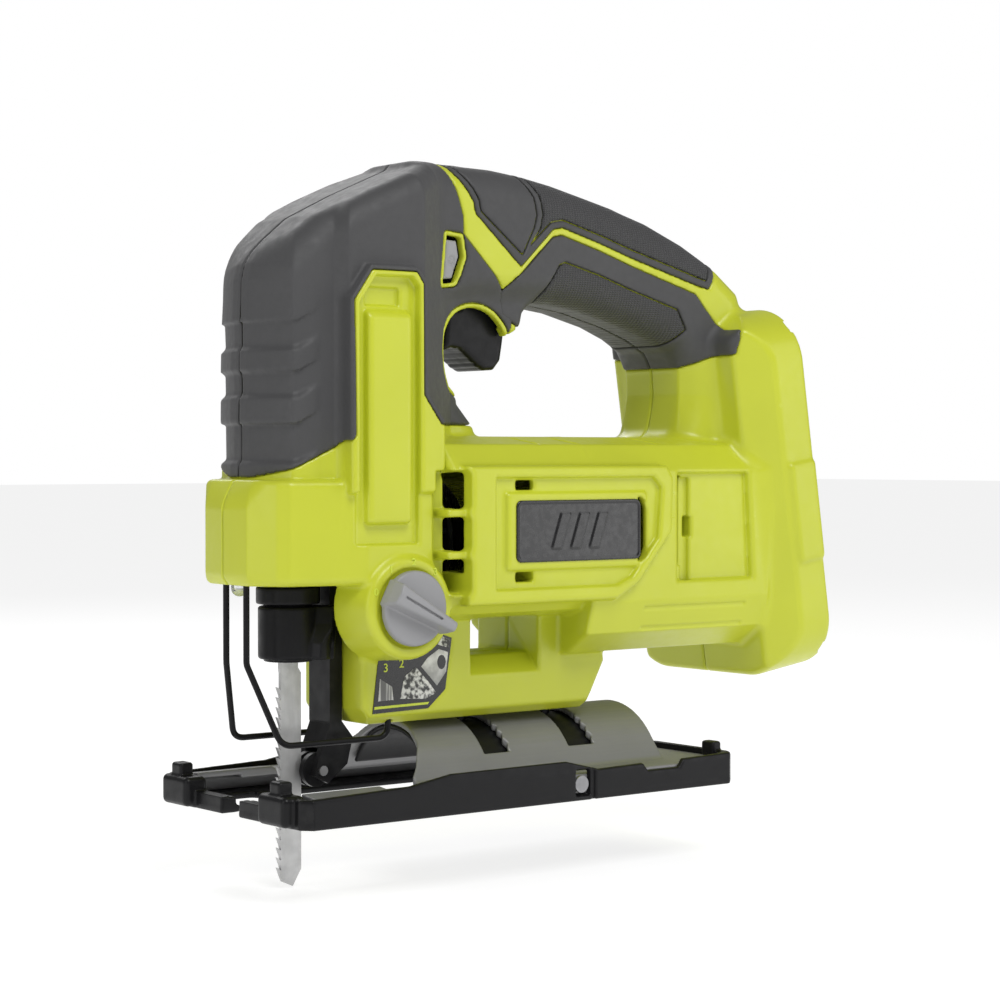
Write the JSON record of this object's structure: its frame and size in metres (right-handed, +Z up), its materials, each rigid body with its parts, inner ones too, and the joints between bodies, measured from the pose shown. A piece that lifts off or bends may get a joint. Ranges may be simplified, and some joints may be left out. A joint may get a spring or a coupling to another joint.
{
  "type": "jigsaw power tool",
  "caption": "Cordless jigsaw with a D-handle, orbital blade action, tilting shoe, wire guard, tool-free blade clamp and a slide-in battery port.",
  "frame": {"origin": "centre of the shoe's sole, on the bevel axis", "axes": "+X towards the battery port, -X towards the blade, +Z up out of the sole, +Y the tool's right-hand side as its user holds it"},
  "size_m": [0.2182, 0.08, 0.2185],
  "materials": {
    "lime_plastic": "satin moulded nylon",
    "gray_rubber": "soft overmould, fine grain",
    "trigger_plastic": "satin",
    "badge_black": "satin film",
    "black_plastic": "satin moulded",
    "light_gray_plastic": "satin moulded",
    "black_metal": "black oxide",
    "black_rubber": "matt",
    "bright_steel": "ground",
    "dark_steel": "zinc and oil",
    "cast_aluminium": "as cast",
    "bearing_bronze": "sintered",
    "winding_copper": "varnished copper and laminations",
    "blade_steel": "satin ground",
    "shoe_steel": "satin plated",
    "clear_lens": "clear",
    "circuit_board": "solder mask",
    "red_lead": "soft sleeve",
    "black_lead": "soft sleeve"
  },
  "bodies": {
    "housing": {"housing_left": "lime_plastic", "housing_right": "lime_plastic", "nose_cover_left": "gray_rubber", "nose_cover_right": "gray_rubber", "lower_grip_left": "gray_rubber", "lower_grip_right": "gray_rubber", "top_grip_left": "gray_rubber", "top_grip_right": "gray_rubber", "badge_plate_left": "badge_black", "badge_plate_right": "badge_black", "setting_label": "badge_black", "housing_screws": "dark_steel", "switch_module": "black_plastic", "motor_can": "bright_steel", "motor_end_cap": "black_plastic", "motor_bearings": "dark_steel", "gear_frame": "cast_aluminium", "gear_axle": "bright_steel", "carrier_pin": "bright_steel", "lever_pin": "bright_steel", "wire_guard": "black_metal", "led_lens": "clear_lens", "led_board": "circuit_board", "bevel_saddle": "dark_steel", "bevel_screws": "dark_steel", "terminal_block": "black_plastic", "battery_contacts": "bearing_bronze", "battery_leads": "red_lead", "motor_leads": "black_lead"},
    "trigger": {"trigger": "trigger_plastic"},
    "lock_button": {"lock_off_button": "light_gray_plastic"},
    "orbital_dial": {"dial_knob": "light_gray_plastic", "orbit_cam": "bright_steel"},
    "rotor": {"armature": "winding_copper", "cooling_fan": "black_plastic", "pinion": "bright_steel"},
    "gear": {"drive_gear": "bright_steel", "gear_bearing": "bearing_bronze", "crank_pin": "bright_steel"},
    "crank_roller": {"crank_roller": "bright_steel"},
    "carrier": {"swing_carrier": "dark_steel", "plunger_bushes": "bearing_bronze", "plunger_seal": "black_rubber"},
    "plunger": {"plunger_rod": "bright_steel", "plunger_yoke": "dark_steel", "clamp_body": "black_metal", "blade": "blade_steel"},
    "clamp_lever": {"clamp_lever": "black_metal"},
    "orbit_lever": {"orbit_lever": "black_metal", "roller_axle": "bright_steel"},
    "backing_roller": {"backing_roller": "bright_steel"},
    "shoe": {"base_plate": "shoe_steel", "shoe_cover": "black_plastic", "cover_screws": "dark_steel"}
  },
  "joints": [
    {"name": "trigger_pull", "type": "slide", "parent": "housing", "child": "trigger", "axis": [0.6, 0, 0.8], "range_m": [0, 0.006], "stiffness_N_per_m": 900, "springref_m": -0.003},
    {"name": "lock_off_slide", "type": "slide", "parent": "housing", "child": "lock_button", "axis": [0, 1, 0], "range_m": [0, 0.004]},
    {"name": "orbital_dial_turn", "type": "hinge", "parent": "housing", "child": "orbital_dial", "pos_m": [-0.038, 0, 0.061], "axis": [0, 1, 0], "range_deg": [0, 105]},
    {"name": "motor_spin", "type": "hinge", "parent": "housing", "child": "rotor", "pos_m": [0, 0, 0.08], "axis": [1, 0, 0], "continuous": true},
    {"name": "gear_spin", "type": "hinge", "parent": "housing", "child": "gear", "pos_m": [-0.0465, 0, 0.1024], "axis": [1, 0, 0], "continuous": true},
    {"name": "crank_roller_spin", "type": "hinge", "parent": "gear", "child": "crank_roller", "pos_m": [-0.0516, 0, 0.1149], "axis": [1, 0, 0], "continuous": true},
    {"name": "orbit_lever_swing", "type": "hinge", "parent": "housing", "child": "orbit_lever", "pos_m": [-0.0475, 0, 0.0715], "axis": [0, 1, 0], "range_deg": [0, 2.2]},
    {"name": "carrier_swing", "type": "hinge", "parent": "housing", "child": "carrier", "pos_m": [-0.069, 0, 0.147], "axis": [0, 1, 0], "range_deg": [0, 1]},
    {"name": "plunger_stroke", "type": "slide", "parent": "carrier", "child": "plunger", "axis": [0, 0, 1], "range_m": [-0.025, 0]},
    {"name": "clamp_lever_turn", "type": "hinge", "parent": "plunger", "child": "clamp_lever", "pos_m": [-0.0616, 0, 0.053], "axis": [0, 0, 1], "range_deg": [-75, 0], "stiffness_Nm_per_rad": 0.08, "springref_deg": 22.92},
    {"name": "backing_roller_spin", "type": "hinge", "parent": "orbit_lever", "child": "backing_roller", "pos_m": [-0.05305, 0, 0.0116], "axis": [0, 1, 0], "continuous": true},
    {"name": "shoe_bevel", "type": "hinge", "parent": "housing", "child": "shoe", "pos_m": [0, 0, 0], "axis": [1, 0, 0], "range_deg": [-45, 45]}
  ],
  "couplings": [
    {"joint": "motor_spin", "follows": "gear_spin", "ratio": -6},
    {"joint": "carrier_swing", "follows": "orbit_lever_swing", "ratio": 0.4424}
  ]
}
